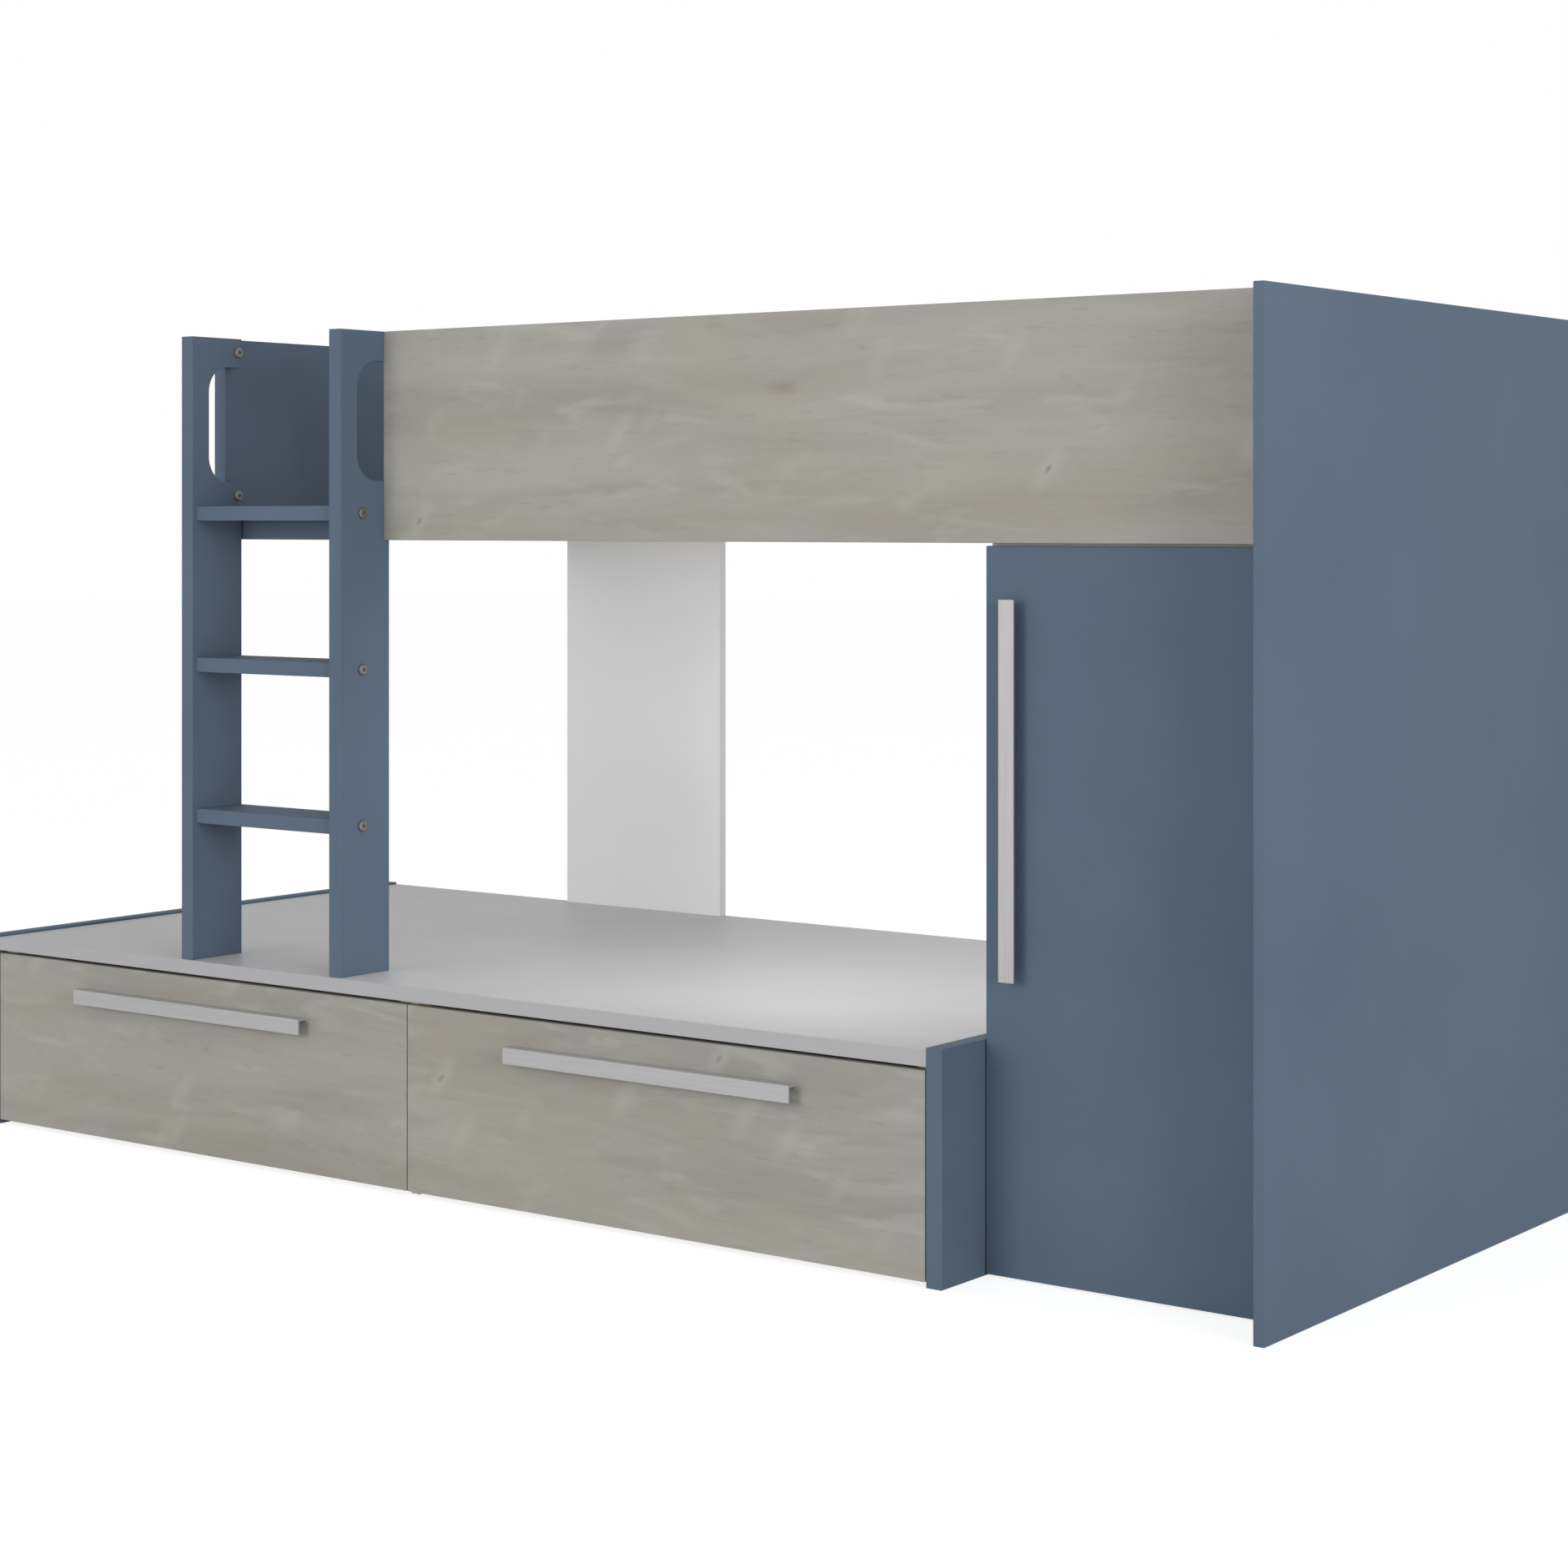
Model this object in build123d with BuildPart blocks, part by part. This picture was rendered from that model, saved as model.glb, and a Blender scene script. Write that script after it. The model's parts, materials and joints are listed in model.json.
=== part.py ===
from build123d import *
import os

# A bunk bed of two offset bunks. The lower bunk has a board base over two castor drawers, a ladder
# stands on its front edge, and the right end of the upper bunk rests on a narrow wardrobe.
# Millimetres. X runs along the beds, Y from front to back, Z up from the floor. The origin is on
# the floor, in the middle of the whole outline, drawer handles included.

os.makedirs("parts", exist_ok=True)

# Overall sizes
overall_length = 2592.0
frame_depth = 1030.0
overall_height = 1408.0

# Boards and the gaps between them
thin_board = 17.0
thick_board = 27.0
edge_break = 0.8
front_gap = 2.0
floor_gap = 8.0
pin_clearance = 0.08

# Lower bunk
platform_height = 338.0
platform_board = 24.0
end_lip = 4.0
wardrobe_width = 512.0
back_board_lift = 80.0
bearer_width = 25.0
bearer_height = 30.0
support_setback = 2.0

# Drawers
drawer_top_gap = 5.0
drawer_side_gap = 12.0
drawer_depth = 700.0
drawer_wall = 15.0
drawer_wall_height = 180.0
drawer_bottom_board = 10.0

# Castors
wheel_radius = 20.0
wheel_width = 15.0
wheel_bevel = 2.5
axle_radius = 3.0
axle_head_radius = 5.0
axle_head = 2.0
bracket_sheet = 2.0
bracket_length = 34.0
bracket_plate = 50.0
wheel_side_gap = 1.0
wheel_top_gap = 3.0
castor_inset = 55.0

# Handles: a folded strip with a back leg, a top flange and a front lip
handle_projection = 22.0
handle_height = 26.0
handle_sheet = 3.0
handle_leg = 7.0
handle_round = 1.0
drawer_handle_length = 559.0
drawer_handle_drop = 43.0
door_handle_length = 548.0
door_handle_drop = 77.0
door_handle_edge = 34.5

# Upper bunk
upper_length = 2114.0
upper_inset = 104.0
guard_height = 349.0
upper_bearer_height = 31.0
base_board = 16.0
cross_bearer_width = 40.0
cross_bearer_count = 2
support_board_width = 383.0
support_board = 19.0
support_side_gap = 4.0

# Ladder
ladder_width = 382.0
ladder_inset = 3.0
rail_lap = 14.0
step_count = 3
top_step_lift = 57.5
step_board = 25.0
step_setback = 9.0
step_round = 2.0
grip_height = 200.0
grip_foot = 99.0
grip_front = 39.0
grip_round = 44.0

# Bolts and dowels
bolt_radius = 3.0
bolt_head_radius = 9.0
bolt_head = 5.0
bolt_bite = 20.0
socket_radius = 3.0
socket_depth = 2.5
step_bolt_setback = 50.0
rail_bolt_setback = 9.5
rail_bolt_low = 76.0
rail_bolt_high = 24.0
dowel_radius = 4.0
dowel_length = 36.0
dowel_count = 3

# Wardrobe
door_setback = 8.0
door_foot_gap = 3.0
door_head_gap = 4.0
door_back_gap = 2.0
hinge_gap = 3.0
plinth_height = 60.0
plinth_setback = 20.0
wardrobe_back_board = 5.0
shelf_count = 2
shelf_front_setback = 20.0
shelf_side_gap = 1.0
shelf_pin_radius = 2.5
shelf_pin_bite = 9.0
shelf_pin_reach = 8.0
shelf_pin_inset = 70.0

# Door hinges
hinge_count = 3
hinge_height = 64.0
hinge_inset = 120.0
leaf_sheet = 1.3
leaf_width = 16.0
knuckle_radius = 4.0
knuckle_count = 3
knuckle_gap = 0.3
hinge_pin_radius = 2.0
hinge_pin_head_radius = 3.2
hinge_pin_head = 1.2

# Faces along X
right_face = overall_length / 2
left_face = -right_face
right_inner = right_face - thin_board
lower_right_face = right_face - wardrobe_width
lower_right_inner = lower_right_face - thick_board
lower_left_inner = left_face + thick_board
upper_left_face = right_face - upper_length
upper_left_inner = upper_left_face + thick_board
ladder_left_face = upper_left_inner
ladder_left_inner = ladder_left_face + thick_board
ladder_right_face = ladder_left_face + ladder_width
ladder_right_inner = ladder_right_face - thick_board
bay_middle = (lower_left_inner + lower_right_inner) / 2
wardrobe_side_inner = lower_right_face + thin_board

# Faces along Y
front_face = (handle_projection - frame_depth) / 2
back_face = front_face + frame_depth
drawer_back_of_front = front_face + thin_board
back_board_front = back_face - thin_board
support_front = back_face - support_board
upper_front = front_face + upper_inset
upper_front_inner = upper_front + thin_board
upper_back_inner = back_face - thin_board
rail_front = front_face + ladder_inset
rail_back = upper_front + rail_lap
door_front = upper_front + door_setback
door_back = door_front + thin_board
wardrobe_front = door_back + door_back_gap
wardrobe_back_front = back_face - wardrobe_back_board

# Heights
platform_under = platform_height - platform_board
lower_end_top = platform_height + end_lip
drawer_front_top = platform_under - drawer_top_gap
guard_foot = overall_height - guard_height
base_under = guard_foot + upper_bearer_height
base_top = base_under + base_board
wheel_middle = wheel_radius
castor_top = 2 * wheel_radius + wheel_top_gap + bracket_sheet
drawer_wall_top = castor_top + drawer_wall_height

step_rise = (guard_foot + top_step_lift - platform_height) / step_count
steps_top = [platform_height + step_rise * (count + 1) for count in range(step_count)]


def write(piece, name):
    """Label a finished piece and write it out."""
    piece.part.label = name
    export_step(piece.part, f"parts/{name}.step")


def board(name, x_span, y_span, z_span):
    """A flat board between two faces along each axis, with its sharp edges broken."""
    x_low, x_high = x_span
    y_low, y_high = y_span
    z_low, z_high = z_span
    with BuildPart() as piece:
        with BuildSketch(Plane.XY.offset(z_low)):
            with Locations(((x_low + x_high) / 2, (y_low + y_high) / 2)):
                Rectangle(x_high - x_low, y_high - y_low)
        extrude(amount=z_high - z_low)
        chamfer(piece.edges(), edge_break)
    write(piece, name)


# Lower bunk: end panels, back board, middle support and the board base
board("lower_left_end_panel", (left_face, lower_left_inner), (front_face, back_face), (0, lower_end_top))
board("lower_right_end_panel", (lower_right_inner, lower_right_face), (front_face, back_face),
      (0, lower_end_top))
board("lower_back_board", (lower_left_inner, lower_right_inner), (back_board_front, back_face),
      (back_board_lift, platform_under))
board("middle_support", (bay_middle - thin_board / 2, bay_middle + thin_board / 2),
      (drawer_back_of_front + support_setback, back_board_front), (0, platform_under))
board("lower_platform", (lower_left_inner, lower_right_inner), (front_face, back_face),
      (platform_under, platform_height))

# The base rests on four bearers, screwed to the end panels and to both sides of the middle support
bearer_faces = [
    lower_left_inner,
    bay_middle - thin_board / 2 - bearer_width,
    bay_middle + thin_board / 2,
    lower_right_inner - bearer_width,
]
bearer_front = drawer_back_of_front + support_setback
with BuildPart() as platform_bearers:
    with BuildSketch(Plane.XY.offset(platform_under - bearer_height)):
        for face in bearer_faces:
            with Locations((face + bearer_width / 2, (bearer_front + back_board_front) / 2)):
                Rectangle(bearer_width, back_board_front - bearer_front)
    extrude(amount=bearer_height)
    chamfer(platform_bearers.edges().filter_by(Axis.Y), edge_break)
write(platform_bearers, "platform_bearers")

# Drawers: a front, a four-sided box and four castors under its corners
front_width = (lower_right_inner - lower_left_inner - 3 * front_gap) / 2
bay_width = (lower_right_inner - lower_left_inner - thin_board) / 2
box_width = bay_width - 2 * drawer_side_gap
box_back = drawer_back_of_front + drawer_depth
fork_width = wheel_width + 2 * wheel_side_gap


def folded_handle(name, plane, length):
    """A handle drawn out along the plane's normal: back leg at X = 0, flange at Y = 0, lip in front."""
    with BuildPart() as handle:
        with BuildSketch(plane) as section:
            with BuildLine():
                Polyline(
                    (0, 0),
                    (0, -handle_leg),
                    (-handle_sheet, -handle_leg),
                    (-handle_sheet, -handle_sheet),
                    (handle_sheet - handle_projection, -handle_sheet),
                    (handle_sheet - handle_projection, -handle_height),
                    (-handle_projection, -handle_height),
                    (-handle_projection, 0),
                    close=True,
                )
            make_face()
            fillet(section.vertices().group_by(Axis.X)[0], handle_round)
        extrude(amount=length)
    write(handle, name)


def castor_places(middle):
    """The four castor centres of one drawer, as seen from above."""
    side_reach = box_width / 2 - castor_inset
    near = drawer_back_of_front + castor_inset
    far = box_back - castor_inset
    return {
        "front_left": (middle - side_reach, near),
        "front_right": (middle + side_reach, near),
        "back_left": (middle - side_reach, far),
        "back_right": (middle + side_reach, far),
    }


def castor_brackets(name, places):
    """Folded steel forks that hold the wheels, screwed under the drawer's bottom."""
    with BuildPart() as brackets:
        for x, y in places.values():
            with BuildSketch(Plane.XZ.offset(-y - bracket_length / 2)):
                with Locations((x, castor_top - bracket_sheet / 2)):
                    Rectangle(bracket_plate, bracket_sheet)
            extrude(amount=bracket_length)
            for side in (-1, 1):
                face = x + side * (fork_width / 2 + bracket_sheet / 2)
                with BuildSketch(Plane.YZ.offset(face - bracket_sheet / 2)):
                    with BuildLine():
                        wide = bracket_length / 2
                        narrow = axle_head_radius + bracket_sheet
                        Line((y - wide, castor_top), (y + wide, castor_top))
                        Line((y + wide, castor_top), (y + narrow, wheel_middle))
                        ThreePointArc(
                            (y + narrow, wheel_middle),
                            (y, wheel_middle - narrow),
                            (y - narrow, wheel_middle),
                        )
                        Line((y - narrow, wheel_middle), (y - wide, castor_top))
                    make_face()
                    with Locations((y, wheel_middle)):
                        Circle(axle_radius + pin_clearance, mode=Mode.SUBTRACT)
                extrude(amount=bracket_sheet)
    write(brackets, name)


def castor_axles(name, places):
    """Riveted axles through the forks, with a head outside each cheek."""
    reach = fork_width / 2 + bracket_sheet
    with BuildPart() as axles:
        for x, y in places.values():
            with BuildSketch(Plane.YZ.offset(x - reach - axle_head)):
                with Locations((y, wheel_middle)):
                    Circle(axle_head_radius)
            extrude(amount=axle_head)
            with BuildSketch(Plane.YZ.offset(x - reach)):
                with Locations((y, wheel_middle)):
                    Circle(axle_radius)
            extrude(amount=2 * reach)
            with BuildSketch(Plane.YZ.offset(x + reach)):
                with Locations((y, wheel_middle)):
                    Circle(axle_head_radius)
            extrude(amount=axle_head)
    write(axles, name)


def castor_wheel(name, x, y):
    """A solid plastic wheel with a bevelled tread and a dished web on both sides."""
    axle_line = Axis((x, y, wheel_middle), (1, 0, 0))
    hub = wheel_radius * 0.4
    rim = wheel_radius * 0.75
    half = wheel_width / 2
    dish = wheel_width * 0.15
    bore = axle_radius + pin_clearance
    with BuildPart() as wheel:
        with BuildSketch(Plane(origin=(x, y, wheel_middle), x_dir=(1, 0, 0), z_dir=(0, -1, 0))) as section:
            with BuildLine():
                Polyline(
                    (-half, bore),
                    (-half, hub),
                    (dish - half, hub),
                    (dish - half, rim),
                    (-half, rim),
                    (-half, wheel_radius),
                    (half, wheel_radius),
                    (half, rim),
                    (half - dish, rim),
                    (half - dish, hub),
                    (half, hub),
                    (half, bore),
                    close=True,
                )
            make_face()
            chamfer(section.vertices().group_by(Axis.Y)[-1], wheel_bevel)
        revolve(axis=axle_line)
    write(wheel, name)


drawer_middles = {
    "left_drawer": bay_middle - front_gap / 2 - front_width / 2,
    "right_drawer": bay_middle + front_gap / 2 + front_width / 2,
}
box_middles = {
    "left_drawer": (lower_left_inner + bay_middle - thin_board / 2) / 2,
    "right_drawer": (lower_right_inner + bay_middle + thin_board / 2) / 2,
}

for drawer, middle in drawer_middles.items():
    box_middle = box_middles[drawer]
    box_left = box_middle - box_width / 2
    box_right = box_middle + box_width / 2
    board(f"{drawer}_front", (middle - front_width / 2, middle + front_width / 2),
          (front_face, drawer_back_of_front), (floor_gap, drawer_front_top))
    board(f"{drawer}_left_side", (box_left, box_left + drawer_wall), (drawer_back_of_front, box_back),
          (castor_top, drawer_wall_top))
    board(f"{drawer}_right_side", (box_right - drawer_wall, box_right), (drawer_back_of_front, box_back),
          (castor_top, drawer_wall_top))
    board(f"{drawer}_back", (box_left + drawer_wall, box_right - drawer_wall),
          (box_back - drawer_wall, box_back), (castor_top, drawer_wall_top))
    board(f"{drawer}_bottom", (box_left + drawer_wall, box_right - drawer_wall),
          (drawer_back_of_front, box_back - drawer_wall), (castor_top, castor_top + drawer_bottom_board))

    handle_plane = Plane(
        origin=(middle - drawer_handle_length / 2, front_face, drawer_front_top - drawer_handle_drop),
        x_dir=(0, 1, 0),
        z_dir=(1, 0, 0),
    )
    folded_handle(f"{drawer}_handle", handle_plane, drawer_handle_length)

    places = castor_places(box_middle)
    castor_brackets(f"{drawer}_castor_brackets", places)
    castor_axles(f"{drawer}_castor_axles", places)
    for corner, (x, y) in places.items():
        castor_wheel(f"{drawer}_wheel_{corner}", x, y)

# Upper bunk: end panels, guards, bearers and the board base
shelf_room = guard_foot - thin_board - plinth_height - thin_board
shelf_pitch = (shelf_room + thin_board) / (shelf_count + 1)
shelves_under = [plinth_height + shelf_pitch * (count + 1) for count in range(shelf_count)]
shelf_front = wardrobe_front + shelf_front_setback
pin_rows = (shelf_front + shelf_pin_inset, wardrobe_back_front - shelf_pin_inset)
pin_places = [(row, under - shelf_pin_radius) for under in shelves_under for row in pin_rows]
pin_hole = shelf_pin_radius + pin_clearance

with BuildPart() as right_end_panel:
    with BuildSketch(Plane.YZ.offset(right_inner)):
        with Locations(((front_face + back_face) / 2, overall_height / 2)):
            Rectangle(frame_depth, overall_height)
    extrude(amount=thin_board)
    chamfer(right_end_panel.edges(), edge_break)
    with BuildSketch(Plane.YZ.offset(right_inner)):
        with Locations(*pin_places):
            Circle(pin_hole)
    extrude(amount=shelf_pin_bite, mode=Mode.SUBTRACT)
write(right_end_panel, "right_end_panel")

rail_bolt_line = rail_back - rail_bolt_setback
rail_bolt_heights = (guard_foot + rail_bolt_low, overall_height - rail_bolt_high)
rail_bolt_places = [(rail_bolt_line, height) for height in rail_bolt_heights]
bolt_hole = bolt_radius + pin_clearance

with BuildPart() as upper_left_end_panel:
    with BuildSketch(Plane.YZ.offset(upper_left_face)):
        with Locations(((upper_front + back_face) / 2, (guard_foot + overall_height) / 2)):
            Rectangle(back_face - upper_front, guard_height)
    extrude(amount=thick_board)
    chamfer(upper_left_end_panel.edges(), edge_break)
    with BuildSketch(Plane.YZ.offset(upper_left_inner)):
        with Locations(*rail_bolt_places):
            Circle(bolt_hole)
    extrude(amount=-bolt_bite - pin_clearance, mode=Mode.SUBTRACT)
write(upper_left_end_panel, "upper_left_end_panel")

with BuildPart() as front_guard:
    with BuildSketch(Plane.XZ.offset(-upper_front)):
        with Locations(((ladder_right_face + right_inner) / 2, (guard_foot + overall_height) / 2)):
            Rectangle(right_inner - ladder_right_face, guard_height)
    extrude(amount=-thin_board)
    chamfer(front_guard.edges(), edge_break)
    with BuildSketch(Plane.YZ.offset(ladder_right_face)):
        with Locations(*rail_bolt_places):
            Circle(bolt_hole)
    extrude(amount=bolt_bite + pin_clearance, mode=Mode.SUBTRACT)
write(front_guard, "front_guard")

support_left = upper_left_inner + support_side_gap
dowel_pitch = support_board_width / dowel_count
dowel_lines = [support_left + dowel_pitch * (count + 0.5) for count in range(dowel_count)]
dowel_places = [(line, (upper_back_inner + back_face) / 2) for line in dowel_lines]
dowel_hole = dowel_radius + pin_clearance

with BuildPart() as back_guard:
    with BuildSketch(Plane.XY.offset(guard_foot)):
        with Locations(((upper_left_inner + right_inner) / 2, (upper_back_inner + back_face) / 2)):
            Rectangle(right_inner - upper_left_inner, back_face - upper_back_inner)
    extrude(amount=guard_height)
    chamfer(back_guard.edges(), edge_break)
    with BuildSketch(Plane.XY.offset(guard_foot)):
        with Locations(*dowel_places):
            Circle(dowel_hole)
    extrude(amount=dowel_length / 2 + pin_clearance, mode=Mode.SUBTRACT)
write(back_guard, "back_guard")

with BuildPart() as back_support_board:
    with BuildSketch(Plane.XY.offset(platform_height)):
        with Locations((support_left + support_board_width / 2, (support_front + back_face) / 2)):
            Rectangle(support_board_width, support_board)
    extrude(amount=guard_foot - platform_height)
    chamfer(back_support_board.edges(), edge_break)
    with BuildSketch(Plane.XY.offset(guard_foot)):
        with Locations(*dowel_places):
            Circle(dowel_hole)
    extrude(amount=-dowel_length / 2 - pin_clearance, mode=Mode.SUBTRACT)
write(back_support_board, "back_support_board")

with BuildPart() as support_dowels:
    with BuildSketch(Plane.XY.offset(guard_foot - dowel_length / 2)):
        with Locations(*dowel_places):
            Circle(dowel_radius)
    extrude(amount=dowel_length)
write(support_dowels, "support_dowels")

board("upper_front_bearer", (upper_left_inner, right_inner),
      (upper_front_inner, upper_front_inner + bearer_width), (guard_foot, base_under))
board("upper_back_bearer", (upper_left_inner, right_inner),
      (upper_back_inner - bearer_width, upper_back_inner), (guard_foot, base_under))
board("upper_base", (upper_left_inner, right_inner), (upper_front_inner, upper_back_inner),
      (base_under, base_top))

cross_front = upper_front_inner + bearer_width
cross_back = upper_back_inner - bearer_width
cross_pitch = (right_inner - upper_left_inner) / (cross_bearer_count + 1)
cross_lines = [upper_left_inner + cross_pitch * (count + 1) for count in range(cross_bearer_count)]
with BuildPart() as upper_cross_bearers:
    with BuildSketch(Plane.XY.offset(guard_foot)):
        for line in cross_lines:
            with Locations((line, (cross_front + cross_back) / 2)):
                Rectangle(cross_bearer_width, cross_back - cross_front)
    extrude(amount=upper_bearer_height)
    chamfer(upper_cross_bearers.edges().filter_by(Axis.Y), edge_break)
write(upper_cross_bearers, "upper_cross_bearers")

# Ladder: two rails with an open hand grip each, three steps between them and the bolts
step_bolt_line = rail_front + step_bolt_setback
step_bolt_places = [(step_bolt_line, top - step_board / 2) for top in steps_top]
grip_low = guard_foot + grip_foot
grip_high = grip_low + grip_height


def ladder_rail(name, outer_face, direction):
    """One rail: a tall board whose back edge is cut away beside the guard for a hand."""
    with BuildPart() as rail:
        with BuildSketch(Plane.YZ.offset(outer_face)) as outline:
            with Locations(((rail_front + rail_back) / 2, (platform_height + overall_height) / 2)):
                Rectangle(rail_back - rail_front, overall_height - platform_height)
            with Locations(((rail_front + grip_front + rail_back) / 2, (grip_low + grip_high) / 2)):
                Rectangle(rail_back - rail_front - grip_front, grip_height, mode=Mode.SUBTRACT)
            inner_corners = outline.vertices().filter_by_position(Axis.X, rail_front + 1, rail_back - 1)
            fillet(inner_corners, grip_round)
        extrude(amount=direction * thick_board)
        chamfer(rail.faces().filter_by(Axis.X).edges(), edge_break)
        with BuildSketch(Plane.YZ.offset(outer_face)):
            with Locations(*step_bolt_places, *rail_bolt_places):
                Circle(bolt_hole)
        extrude(amount=direction * thick_board, mode=Mode.SUBTRACT)
    write(rail, name)


ladder_rail("ladder_left_rail", ladder_left_face, 1)
ladder_rail("ladder_right_rail", ladder_right_face, -1)

for number, top in enumerate(steps_top, start=1):
    with BuildPart() as step:
        with BuildSketch(Plane.XY.offset(top - step_board)):
            with Locations(((ladder_left_inner + ladder_right_inner) / 2,
                            (rail_front + step_setback + rail_back) / 2)):
                Rectangle(ladder_right_inner - ladder_left_inner, rail_back - rail_front - step_setback)
        extrude(amount=step_board)
        fillet(step.edges().filter_by(Axis.X), step_round)
        for face, direction in ((ladder_left_inner, 1), (ladder_right_inner, -1)):
            with BuildSketch(Plane.YZ.offset(face)):
                with Locations((step_bolt_line, top - step_board / 2)):
                    Circle(bolt_hole)
            extrude(amount=direction * (bolt_bite + pin_clearance), mode=Mode.SUBTRACT)
    write(step, f"ladder_step_{number}")


def bolts(name, seats):
    """Round-headed socket bolts: each seat is a head face along X, the way in, and its places."""
    with BuildPart() as group:
        for face, direction, places in seats:
            for y, z in places:
                seat = Plane(origin=(face, y, z), x_dir=(0, 1, 0), z_dir=(-direction, 0, 0))
                with BuildSketch(seat):
                    Circle(bolt_head_radius)
                extrude(amount=bolt_head)
                head_rim = group.edges().filter_by_position(
                    Axis.X, face - direction * bolt_head - 0.01, face - direction * bolt_head + 0.01)
                fillet(head_rim.sort_by_distance((face, y, z))[0], bolt_head / 2)
                with BuildSketch(seat):
                    Circle(bolt_radius)
                extrude(amount=-thick_board - bolt_bite)
                with BuildSketch(seat.offset(bolt_head)):
                    RegularPolygon(socket_radius, 6)
                extrude(amount=-socket_depth, mode=Mode.SUBTRACT)
    write(group, name)


bolts("step_bolts", [
    (ladder_left_face, 1, step_bolt_places),
    (ladder_right_face, -1, step_bolt_places),
])
bolts("rail_bolts", [
    (ladder_left_inner, -1, rail_bolt_places),
    (ladder_right_inner, 1, rail_bolt_places),
])

# Wardrobe under the right end of the upper bunk
with BuildPart() as wardrobe_side_panel:
    with BuildSketch(Plane.YZ.offset(lower_right_face)):
        with Locations(((wardrobe_front + back_face) / 2, guard_foot / 2)):
            Rectangle(back_face - wardrobe_front, guard_foot)
    extrude(amount=thin_board)
    chamfer(wardrobe_side_panel.edges(), edge_break)
    with BuildSketch(Plane.YZ.offset(wardrobe_side_inner)):
        with Locations(*pin_places):
            Circle(pin_hole)
    extrude(amount=-shelf_pin_bite, mode=Mode.SUBTRACT)
write(wardrobe_side_panel, "wardrobe_side_panel")

wardrobe_span = (wardrobe_side_inner, right_inner)
wardrobe_run = (wardrobe_front, wardrobe_back_front)
plinth_front = wardrobe_front + plinth_setback
board("wardrobe_top", wardrobe_span, wardrobe_run, (guard_foot - thin_board, guard_foot))
board("wardrobe_bottom", wardrobe_span, wardrobe_run, (plinth_height, plinth_height + thin_board))
board("wardrobe_plinth", wardrobe_span, (plinth_front, plinth_front + thin_board), (0, plinth_height))
board("wardrobe_back", wardrobe_span, (wardrobe_back_front, back_face), (plinth_height, guard_foot))
for number, under in enumerate(shelves_under, start=1):
    board(f"wardrobe_shelf_{number}",
          (wardrobe_side_inner + shelf_side_gap, right_inner - shelf_side_gap),
          (shelf_front, wardrobe_back_front), (under, under + thin_board))

with BuildPart() as shelf_pins:
    for face, direction in ((wardrobe_side_inner, 1), (right_inner, -1)):
        with BuildSketch(Plane.YZ.offset(face - direction * (shelf_pin_bite - pin_clearance))):
            with Locations(*pin_places):
                Circle(shelf_pin_radius)
        extrude(amount=direction * (shelf_pin_bite - pin_clearance + shelf_pin_reach))
write(shelf_pins, "shelf_pins")

# Door on three knuckle hinges along its right edge
door_left = lower_right_face + front_gap
door_right = right_inner - hinge_gap
door_foot = door_foot_gap
door_head = guard_foot - door_head_gap
board("wardrobe_door", (door_left, door_right), (door_front, door_back), (door_foot, door_head))

door_handle_foot = door_head - door_handle_drop - door_handle_length
door_handle_plane = Plane(
    origin=(door_left + door_handle_edge, door_front, door_handle_foot),
    x_dir=(0, 1, 0),
    z_dir=(0, 0, 1),
)
folded_handle("wardrobe_door_handle", door_handle_plane, door_handle_length)

hinge_line = (right_inner - pin_clearance - knuckle_radius, door_front - knuckle_radius - knuckle_gap)
hinge_first = door_foot + hinge_inset
hinge_last = door_head - hinge_inset - hinge_height
hinge_pitch = (hinge_last - hinge_first) / (hinge_count - 1)
hinge_feet = [hinge_first + hinge_pitch * count for count in range(hinge_count)]
knuckle_pitch = hinge_height / knuckle_count


def hinge_leaves(name, first_knuckle, leaf_face, leaf_direction):
    """The leaves of one side of the door: every second knuckle of each hinge, with its flat plate."""
    x, y = hinge_line
    leaf_end = door_front + leaf_width
    with BuildPart() as leaves:
        for foot in hinge_feet:
            with BuildSketch(Plane.XY.offset(foot)):
                with Locations((leaf_face + leaf_direction * leaf_sheet / 2, (y + leaf_end) / 2)):
                    Rectangle(leaf_sheet, leaf_end - y)
            extrude(amount=hinge_height)
            with BuildSketch(Plane.XY.offset(foot)):
                with Locations((x, y)):
                    Circle(knuckle_radius)
            extrude(amount=hinge_height)
            for knuckle in range(1 - first_knuckle, knuckle_count, 2):
                low = foot + knuckle * knuckle_pitch - knuckle_gap
                with BuildSketch(Plane.XY.offset(low)):
                    with Locations((x, y)):
                        Circle(knuckle_radius + knuckle_gap)
                extrude(amount=knuckle_pitch + 2 * knuckle_gap, mode=Mode.SUBTRACT)
            with BuildSketch(Plane.XY.offset(foot)):
                with Locations((x, y)):
                    Circle(hinge_pin_radius + pin_clearance)
            extrude(amount=hinge_height, mode=Mode.SUBTRACT)
    write(leaves, name)


hinge_leaves("hinge_frame_leaves", 0, right_inner, -1)
hinge_leaves("hinge_door_leaves", 1, door_right, 1)

with BuildPart() as hinge_pins:
    for foot in hinge_feet:
        with BuildSketch(Plane.XY.offset(foot)):
            with Locations(hinge_line):
                Circle(hinge_pin_radius)
        extrude(amount=hinge_height)
        for head_foot in (foot - hinge_pin_head, foot + hinge_height):
            with BuildSketch(Plane.XY.offset(head_foot)):
                with Locations(hinge_line):
                    Circle(hinge_pin_head_radius)
            extrude(amount=hinge_pin_head)
write(hinge_pins, "hinge_pins")
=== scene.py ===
# %% [markdown]
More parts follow.
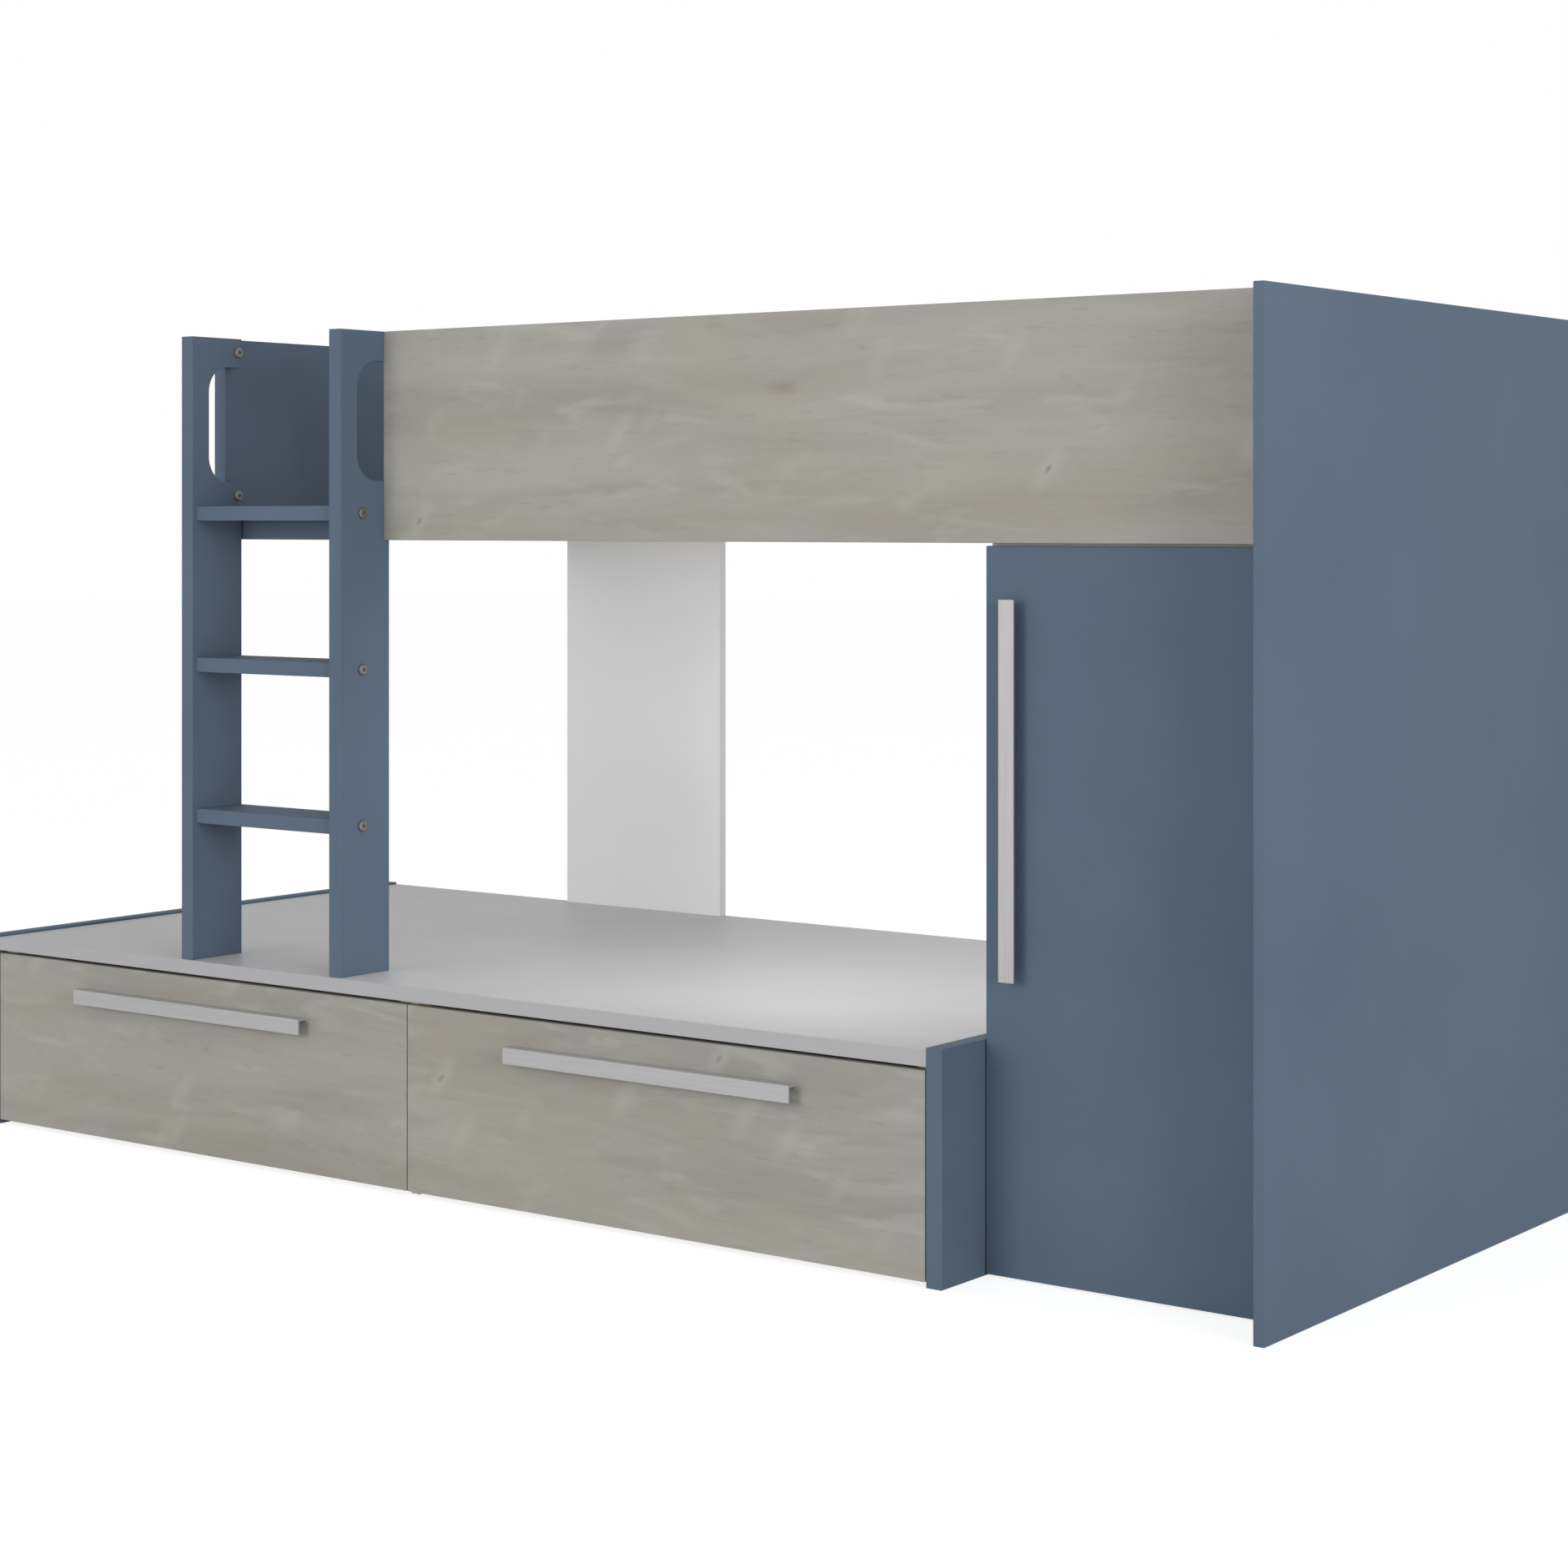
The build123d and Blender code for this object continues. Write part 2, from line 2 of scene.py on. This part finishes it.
# A bunk bed from faced boards. The boards, handles, bolts, castors and hinges arrive as solids of
# the right size, so this lesson is about surfaces: how a grey-blue board, a greyed oak print, a
# white board, satin aluminium and zinc-plated steel are painted with nodes alone, and how a soft
# studio shows them. The first cell loads the solids and the record that goes with them.

# %% Load the bed
import json
import math
import bpy
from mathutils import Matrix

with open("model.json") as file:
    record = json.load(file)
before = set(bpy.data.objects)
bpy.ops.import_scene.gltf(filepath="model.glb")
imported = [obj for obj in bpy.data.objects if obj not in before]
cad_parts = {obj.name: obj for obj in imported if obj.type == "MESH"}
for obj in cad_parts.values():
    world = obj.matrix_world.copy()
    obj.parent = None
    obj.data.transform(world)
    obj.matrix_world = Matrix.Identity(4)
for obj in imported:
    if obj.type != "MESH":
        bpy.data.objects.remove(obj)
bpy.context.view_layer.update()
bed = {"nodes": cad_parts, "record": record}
nodes = bed["nodes"]

# %% [markdown]
# A procedural finish is a sum: some noise times a strength, plus a base, less a groove. Written with
# node calls alone such a sum is hard to read. So a small class holds one output socket and gives it
# the ordinary operators. An expression on two values then makes the Math nodes by itself.

# %% A socket that can be added and multiplied
class Value:
    def __init__(self, paint, socket):
        self.paint = paint
        self.socket = socket

    def maths(self, operation, first, second):
        return self.paint.node("ShaderNodeMath", {"operation": operation}, {0: first, 1: second})

    def __add__(self, other):
        return self.maths("ADD", self, other)

    def __radd__(self, other):
        return self.maths("ADD", other, self)

    def __sub__(self, other):
        return self.maths("SUBTRACT", self, other)

    def __rsub__(self, other):
        return self.maths("SUBTRACT", other, self)

    def __mul__(self, other):
        return self.maths("MULTIPLY", self, other)

    def __rmul__(self, other):
        return self.maths("MULTIPLY", other, self)


print("a Value turns an expression into Math nodes")

# %% [markdown]
# The second helper holds a node tree. It has one method that adds any node: the type first, then its
# settings, then what goes into its sockets, by name or by number. A material is such a tree with a
# shader at its end. Short methods on top cover what every finish here needs: coordinates stretched
# along the board, a noise, a soft threshold, a blend of two colours and a bump.

# %% A material that grows by expressions
class NodeTree:
    def __init__(self, tree):
        self.tree = tree

    def node(self, kind, settings=None, inputs=None, out=0):
        made = self.tree.nodes.new(kind)
        for name, value in (settings or {}).items():
            setattr(made, name, value)
        for name, value in (inputs or {}).items():
            self.feed(made.inputs[name], value)
        return Value(self, made.outputs[out])

    def feed(self, socket, value):
        if isinstance(value, Value):
            self.tree.links.new(value.socket, socket)
        else:
            socket.default_value = value


class Paint(NodeTree):
    def __init__(self, name):
        self.material = bpy.data.materials.new(name)
        self.material.use_nodes = True
        super().__init__(self.material.node_tree)
        self.shader = self.tree.nodes["Principled BSDF"]
        self.place = self.node("ShaderNodeTexCoord", out="Object")

    def stretched(self, scale, shift=(0, 0, 0)):
        moved = self.node("ShaderNodeVectorMath", {"operation": "ADD"}, {0: self.place, 1: shift})
        return self.node("ShaderNodeVectorMath", {"operation": "MULTIPLY"}, {0: moved, 1: scale})

    def noise(self, vector, scale=1.0, detail=3.0, roughness=0.5, distortion=0.0):
        inputs = {"Vector": vector, "Scale": scale, "Detail": detail, "Roughness": roughness,
                  "Distortion": distortion}
        return self.node("ShaderNodeTexNoise", {"noise_dimensions": "3D"}, inputs)

    def between(self, value, low, high):
        inputs = {"Value": value, "From Min": low, "From Max": high, "To Min": 0.0, "To Max": 1.0}
        return self.node("ShaderNodeMapRange", {"interpolation_type": "SMOOTHSTEP"}, inputs)

    def blend(self, factor, first, second):
        return self.node("ShaderNodeMix", {"data_type": "RGBA"}, {0: factor, 6: first, 7: second}, out=2)

    def bump(self, height, strength, distance):
        inputs = {"Strength": strength, "Distance": distance, "Height": height}
        return self.node("ShaderNodeBump", {}, inputs)

    def finish(self, constants=None, **varying):
        for name, value in (constants or {}).items():
            self.shader.inputs[name].default_value = value
        for name, value in varying.items():
            self.feed(self.shader.inputs[name.replace("_", " ")], value)
        return self.material


print("a Paint holds one material and adds its nodes")

# %% [markdown]
# Paint colours are easiest to read as the 0 to 255 numbers of a colour chart, but a shader works
# with light. This helper undoes the display curve once, so each chart colour renders as written.

# %% Colours from a chart
def chart(red, green, blue):
    linear = []
    for level in (red, green, blue):
        share = level / 255
        linear.append(share / 12.92 if share <= 0.04045 else ((share + 0.055) / 1.055) ** 2.4)
    return (*linear, 1.0)


print("grey-blue as light:", [round(level, 3) for level in chart(98, 115, 131)])

# %% [markdown]
# The grey-blue boards carry a plain printed film pressed onto chipboard. It is matt, with a fine
# pearl texture that breaks up the highlight, and the tone is never quite even over a wide panel. A
# flat colour would look like plastic, so a broad noise shifts the tone a little, a fine one gives
# the pearl, and the roughness follows the pearl too.

# %% Grey-blue board
def blue_board():
    paint = Paint("grey_blue_board")
    cloud = paint.noise(paint.place, scale=2.6, detail=4.0, roughness=0.55)
    pearl = paint.noise(paint.place, scale=420.0, detail=2.0)
    speck = paint.between(paint.noise(paint.place, scale=900.0, detail=1.0), 0.62, 0.74)
    tone = paint.between(cloud, 0.25, 0.75)
    film = paint.blend(tone, chart(92, 108, 126), chart(99, 115, 133))
    film = paint.blend(speck * 0.25, film, chart(122, 137, 150))
    bump = paint.bump(pearl, 0.25, 0.0004)
    sheen = 0.6 + pearl * 0.16
    return paint.finish({"Specular IOR Level": 0.15}, Base_Color=film, Roughness=sheen, Normal=bump)


blue = blue_board()
print("made", blue.name)

# %% [markdown]
# The guards and drawer fronts are printed with a greyed oak. Seen from a step away it is soft
# streaks along the board, paler smeared patches, a few brown knots, small slanting scars with a pale
# rim, and very fine pores. This cell makes the two marks. A knot is the nearest point of a cell
# pattern. A scar is the same, but the pattern is turned and squeezed first, so that its points
# become short slanting strokes.

# %% Knots and scars in oak
slant_angle = math.radians(52)


def knot_distance(paint, shift):
    cells = {"Vector": paint.stretched((1.15, 1.0, 3.1), shift), "Scale": 1.0, "Randomness": 0.9}
    return paint.node("ShaderNodeTexVoronoi", {"feature": "F1"}, cells, out="Distance")


def scar_distance(paint, shift):
    turn = {"Vector": paint.stretched((1.0, 1.0, 1.0), shift), "Angle": slant_angle}
    turned = paint.node("ShaderNodeVectorRotate", {"rotation_type": "Y_AXIS"}, turn)
    squeeze = {0: turned, 1: (4.8, 1.0, 12.0)}
    squeezed = paint.node("ShaderNodeVectorMath", {"operation": "MULTIPLY"}, squeeze)
    cells = {"Vector": squeezed, "Scale": 1.0, "Randomness": 1.0}
    return paint.node("ShaderNodeTexVoronoi", {"feature": "F1"}, cells, out="Distance")


print("knots and scars are ready")

# %% [markdown]
# The streaks are a noise stretched along X. The knots also push them aside, as real grain flows
# round a knot. The other noises are stretched to their own lengths: smears, flecks, pores and
# patches of a warmer tone. Each layer is then blended over the last, weakest where it should only
# be felt. Each board shifts the patterns, so that no two look alike.

# %% Greyed oak print
def oak_streaks(paint, shift, knots):
    swirl = (1 - paint.between(knots, 0.0, 0.42)) * 0.5
    drift = paint.noise(paint.stretched((1.1, 1.0, 4.0), shift), detail=2.0)
    lift = paint.node("ShaderNodeCombineXYZ", {}, {"Z": drift * 0.7 + swirl})
    flow = {0: paint.stretched((1.3, 1.0, 13.0), shift), 1: lift}
    flowing = paint.node("ShaderNodeVectorMath", {"operation": "ADD"}, flow)
    return paint.noise(flowing, detail=5.0, roughness=0.58, distortion=0.3)


def oak_board(name, shift):
    paint = Paint(name)
    knots = knot_distance(paint, shift)
    streaks = oak_streaks(paint, shift, knots)
    smear = paint.noise(paint.stretched((4.5, 1.0, 21.0), shift), detail=3.0, distortion=1.2)
    flecks = paint.noise(paint.stretched((22.0, 1.0, 130.0), shift), detail=2.0)
    pores = paint.noise(paint.stretched((60.0, 40.0, 900.0), shift), detail=2.0)
    warm_shift = (shift[0] + 2.0, 0.0, shift[2])
    warmth = paint.noise(paint.stretched((3.0, 1.0, 8.0), warm_shift), detail=3.0)

    colour = paint.blend(paint.between(streaks, 0.3, 0.7), chart(157, 154, 147), chart(173, 171, 164))
    colour = paint.blend(paint.between(smear, 0.52, 0.72) * 0.55, colour, chart(182, 182, 176))
    colour = paint.blend(paint.between(flecks, 0.6, 0.75) * 0.3, colour, chart(144, 140, 132))
    colour = paint.blend(paint.between(pores, 0.55, 0.8) * 0.3, colour, chart(140, 136, 129))
    colour = paint.blend(paint.between(warmth, 0.42, 0.66) * 0.4, colour, chart(169, 163, 149))
    heart = 1 - paint.between(knots + streaks * 0.06, 0.03, 0.085)
    colour = paint.blend(heart * 0.5, colour, chart(132, 118, 108))
    scars = scar_distance(paint, shift) + smear * 0.16
    halo = 1 - paint.between(scars, 0.13, 0.36)
    colour = paint.blend(halo * 0.42, colour, chart(184, 184, 177))
    middle = 1 - paint.between(scars, 0.1, 0.15)
    colour = paint.blend(middle * 0.6, colour, chart(128, 122, 114))
    bump = paint.bump(pores, 0.3, 0.0004)
    sheen = 0.52 + streaks * 0.14
    return paint.finish({"Specular IOR Level": 0.25}, Base_Color=colour, Roughness=sheen, Normal=bump)


oak = {
    "front_guard": oak_board("oak_front_guard", (0.0, 0.0, 0.0)),
    "back_guard": oak_board("oak_back_guard", (3.7, 0.0, 0.4)),
    "left_drawer_front": oak_board("oak_left_drawer", (6.1, 0.0, 1.3)),
    "right_drawer_front": oak_board("oak_right_drawer", (9.4, 0.0, 2.6)),
}
print("oak on", ", ".join(oak))

# %% [markdown]
# The bunk bases, back boards and wardrobe carcass are plain white faced board. White shows dirt and
# light more than colour, so the work is in the sheen: a faint orange peel in the film, and a tone
# that is a touch warmer in broad patches. The lower base is a light grey shade of it, and its faces
# that look forward are a darker grey. They are found by the way a surface faces, so they need no shape.
# Of the upper base only the front edge peeps out behind the top step, in a shaded slit; that edge is
# painted grey-blue, as painted shade.

# %% White board
def white_board(name, cool, warm, forward_face_colour):
    paint = Paint(name)
    cloud = paint.noise(paint.place, scale=1.8, detail=3.0)
    peel = paint.noise(paint.place, scale=260.0, detail=2.0)
    film = paint.blend(paint.between(cloud, 0.3, 0.7), cool, warm)
    normal = paint.node("ShaderNodeTexCoord", out="Normal")
    facing = paint.node("ShaderNodeSeparateXYZ", {}, {0: normal}, out="Y")
    # Faces that look forward take the front-face colour: a plain darker grey on the lower base, and on
    # the upper base a grey-blue that is painted shade.
    forward_face_mask = paint.between(facing * -1, 0.4, 0.6)
    film = paint.blend(forward_face_mask, film, forward_face_colour)
    bump = paint.bump(peel, 0.2, 0.0004)
    sheen = 0.42 + peel * 0.16
    return paint.finish({"Specular IOR Level": 0.25}, Base_Color=film, Roughness=sheen, Normal=bump)


clean_white = (chart(245, 245, 246), chart(249, 249, 248))
light_grey = (chart(198, 198, 200), chart(203, 203, 203))
white = white_board("white_board", *clean_white, chart(245, 245, 245))
base_white = white_board("base_board", *light_grey, chart(184, 184, 186))
# The grey-blue front-face colour of the upper base is painted shade, for the dark slit behind the top
# step.
upper_white = white_board("upper_base_board", *clean_white, chart(92, 108, 126))
print("made", white.name, base_white.name, "and", upper_white.name)

# %% [markdown]
# Bearers and dowels are bare planed softwood. They hide under the bunks, but show when a drawer is
# out. The bearers run from front to back or along the bed, so the grain is stretched along the
# length of each piece, with darker rings between pale summer wood.

# %% Bare softwood
def softwood(name, stretch):
    paint = Paint(name)
    grain_place = paint.stretched(stretch)
    rings = paint.noise(grain_place, detail=4.0, roughness=0.6, distortion=0.5)
    fibres = paint.noise(grain_place, scale=9.0, detail=2.0)
    colour = paint.blend(paint.between(rings, 0.35, 0.65), chart(206, 178, 138), chart(224, 201, 166))
    colour = paint.blend(paint.between(fibres, 0.55, 0.8) * 0.35, colour, chart(176, 142, 100))
    bump = paint.bump(fibres, 0.3, 0.0005)
    sheen = 0.6 + rings * 0.15
    return paint.finish({"Specular IOR Level": 0.25}, Base_Color=colour, Roughness=sheen, Normal=bump)


wood_across = softwood("softwood_front_to_back", (40.0, 1.5, 40.0))
wood_along = softwood("softwood_along", (1.5, 40.0, 40.0))
wood_upright = softwood("softwood_upright", (90.0, 90.0, 4.0))
print("made three softwoods")

# %% [markdown]
# The handles are folded aluminium strip with a satin, anodised face. Brushing leaves very fine lines
# along the strip. Lines in the roughness stretch the highlight along the handle, and a little of
# them in the colour keeps the metal from looking like grey paint.

# %% Satin aluminium
def satin_aluminium(name, stretch):
    paint = Paint(name)
    lines = paint.noise(paint.stretched(stretch), detail=3.0, roughness=0.6)
    haze = paint.noise(paint.place, scale=9.0, detail=2.0)
    colour = paint.blend(paint.between(lines, 0.3, 0.7), chart(170, 170, 171), chart(180, 180, 180))
    rough = 0.38 + lines * 0.12 + haze * 0.08
    bump = paint.bump(lines, 0.15, 0.0003)
    return paint.finish({"Metallic": 0.35}, Base_Color=colour, Roughness=rough, Normal=bump)


aluminium_along = satin_aluminium("aluminium_along", (8.0, 900.0, 900.0))
aluminium_upright = satin_aluminium("aluminium_upright", (900.0, 900.0, 8.0))
print("made two aluminium finishes")

# %% [markdown]
# Bolts, castor forks, hinges and pins are plated steel. Zinc has a soft spangle of crystals in
# slightly different greys. A cell pattern gives each crystal its own level, which then moves both
# the colour and the roughness. The bolt heads are the same steel in a dull, closer-grained plate.

# %% Plated steel
def plated_steel(name, scale, dark, pale, roughness):
    paint = Paint(name)
    cells = {"Vector": paint.place, "Scale": scale, "Randomness": 1.0}
    crystal = paint.node("ShaderNodeTexVoronoi", {"feature": "F1"}, cells, out="Color")
    level = paint.node("ShaderNodeSeparateColor", {}, {0: crystal})
    haze = paint.noise(paint.place, scale=60.0, detail=3.0)
    colour = paint.blend(level * 0.6 + haze * 0.4, dark, pale)
    rough = level * 0.08 + haze * 0.1 + roughness
    bump = paint.bump(haze, 0.12, 0.0003)
    return paint.finish({"Metallic": 1.0}, Base_Color=colour, Roughness=rough, Normal=bump)


zinc = plated_steel("zinc_steel", 240.0, chart(160, 163, 166), chart(196, 198, 199), 0.3)
bolt_steel = plated_steel("bolt_steel", 900.0, chart(120, 119, 117), chart(142, 140, 136), 0.5)
print("made", zinc.name, "and", bolt_steel.name)

# %% [markdown]
# The castor wheels are moulded nylon, nearly black, with dust in patches. Dust is paler and rougher
# than clean plastic, so one noise moves both the colour and the roughness. A much finer one gives
# the moulded skin its grit.

# %% Castor nylon
def castor_nylon():
    paint = Paint("castor_nylon")
    dust = paint.noise(paint.place, scale=85.0, detail=5.0, roughness=0.6)
    grit = paint.noise(paint.place, scale=1400.0, detail=2.0)
    colour = paint.blend(paint.between(dust, 0.35, 0.75), chart(34, 35, 37), chart(62, 62, 63))
    bump = paint.bump(grit, 0.3, 0.0003)
    return paint.finish({"IOR": 1.5}, Base_Color=colour, Roughness=0.38 + dust * 0.25, Normal=bump)


nylon = castor_nylon()
print("made", nylon.name)

# %% [markdown]
# Now each solid takes its finish. The record already groups the nodes by material slot, so the slot
# chooses the finish, and only the pieces with a direction of their own, such as an upright handle or
# a bearer that runs the other way, are named one by one.

# %% Dress every node
finishes = {
    "blue_board": blue,
    "white_board": white,
    "plain_wood": wood_along,
    "handle_aluminium": aluminium_along,
    "bolt_steel": bolt_steel,
    "zinc_steel": zinc,
    "wheel_plastic": nylon,
}
own_finishes = {
    **oak,
    "lower_platform": base_white,
    "upper_base": upper_white,
    "wardrobe_door_handle": aluminium_upright,
    "platform_bearers": wood_across,
    "upper_cross_bearers": wood_across,
    "support_dowels": wood_upright,
}
slots = {part["node"]: part["material_slot"] for part in bed["record"]["subparts"]}
for name, solid in nodes.items():
    finish = own_finishes.get(name) or finishes[slots[name]]
    for material_slot in solid.material_slots:
        material_slot.material = finish
    if not solid.material_slots:
        solid.data.materials.append(finish)
print("dressed", len(nodes), "nodes")

# %% [markdown]
# The studio is a white sweep. A floor bright enough to look white by light alone would also flood
# the boards with light from below. So the floor is an ordinary pale grey to every bounce, and only
# rays from the camera, and those seen in gloss or glass, get part of a plain glow on top. The shadow
# under the bed still shows, because the other part is lit like any floor.

# %% Floor
floor_width = 60.0
floor_drop = 0.0005
glow_share = 0.55
glow_strength = 1.5


def seen_directly(owner):
    camera = owner.node("ShaderNodeLightPath", out="Is Camera Ray")
    glossy = owner.node("ShaderNodeLightPath", out="Is Glossy Ray")
    through = owner.node("ShaderNodeLightPath", out="Is Transmission Ray")
    return camera + glossy + through


def floor_finish():
    paint = Paint("studio_floor")
    sweep = paint.noise(paint.place, scale=0.6, detail=2.0)
    tone = paint.blend(sweep, chart(236, 236, 236), chart(240, 240, 240))
    finished = paint.finish({"Roughness": 0.9, "Specular IOR Level": 0.0}, Base_Color=tone)
    lit = Value(paint, paint.shader.outputs[0])
    glow = paint.node("ShaderNodeEmission", {}, {"Color": (1, 1, 1, 1), "Strength": glow_strength})
    share = seen_directly(paint) * glow_share
    mixed = paint.node("ShaderNodeMixShader", {}, {0: share, 1: lit, 2: glow})
    paint.feed(paint.tree.nodes["Material Output"].inputs["Surface"], mixed)
    return finished


bpy.ops.mesh.primitive_plane_add(size=floor_width, location=(0, 0, -floor_drop))
floor = bpy.context.object
floor.name = "studio_floor"
floor.data.materials.append(floor_finish())
print("floor", tuple(round(length, 1) for length in floor.dimensions))

# %% [markdown]
# The world is the fill light. It has two levels, told apart by the kind of ray: full white where the
# camera looks straight at it, and a softer level that lights the boards.

# %% World
fill = 0.44

world = bpy.data.worlds.new("studio")
bpy.context.scene.world = world
world.use_nodes = True
sky = NodeTree(world.node_tree)
background = world.node_tree.nodes["Background"]
background.inputs["Color"].default_value = (1, 1, 1, 1)
sky.feed(background.inputs["Strength"], seen_directly(sky) * (1 - fill) + fill)
print("fill light", fill)

# %% [markdown]
# Three wide lamps do the shaping. The key stands low to the right of the camera, so that the tall end
# panel is the brightest blue face. The second, from the front left, keeps the drawer fronts even.
# The third is weak and hangs in the lower bunk, where the upper one would leave the white boards
# dull. None is small, so no shadow has a hard edge.

# %% Lamps
def lamp(name, place, target, size, power):
    data = bpy.data.lights.new(name, "AREA")
    data.shape = "DISK"
    data.size = size
    data.energy = power
    made = bpy.data.objects.new(name, data)
    bpy.context.collection.objects.link(made)
    made.location = place
    reach = [target[i] - place[i] for i in range(3)]
    flat = math.hypot(reach[0], reach[1])
    made.rotation_euler = (math.atan2(flat, -reach[2]), 0, math.atan2(reach[1], reach[0]) - math.pi / 2)
    made.visible_camera = False


# Each lamp: place, target, width in metres and power in watts
studio_lamps = {
    "key": ((6.5, -2.6, 1.8), (0.2, 0.0, 0.7), 3.0, 148),
    "front_fill": ((-1.2, -6.4, 1.8), (-0.1, 0.0, 0.6), 3.0, 108),
    "bunk_fill": ((0.3, -0.15, 1.0), (0.1, 0.25, 0.35), 0.8, 3.5),
}
for name, (place, target, size, power) in studio_lamps.items():
    lamp(name, place, target, size, power)
print(len(studio_lamps), "lamps")

# %% [markdown]
# The camera stands level at the height of a seated eye, turned a little over a third of a right
# angle to the left. Level cameras keep uprights upright, and the frame is moved down with the
# vertical shift rather than by tilting, as for a furniture catalogue.

# %% Camera
camera_place = (3.2507, -4.1739, 1.0894)
camera_turn = math.radians(36.8)

lens = bpy.data.cameras.new("camera")
lens.sensor_width = 36.0
lens.lens = 71.58
lens.shift_y = -0.1671
lens.clip_end = 200.0
camera = bpy.data.objects.new("camera", lens)
bpy.context.collection.objects.link(camera)
camera.location = camera_place
camera.rotation_euler = (math.radians(90), 0, camera_turn)
bpy.context.scene.camera = camera
bpy.context.scene.view_settings.view_transform = "Standard"
print("camera at", tuple(round(value, 3) for value in camera.location))
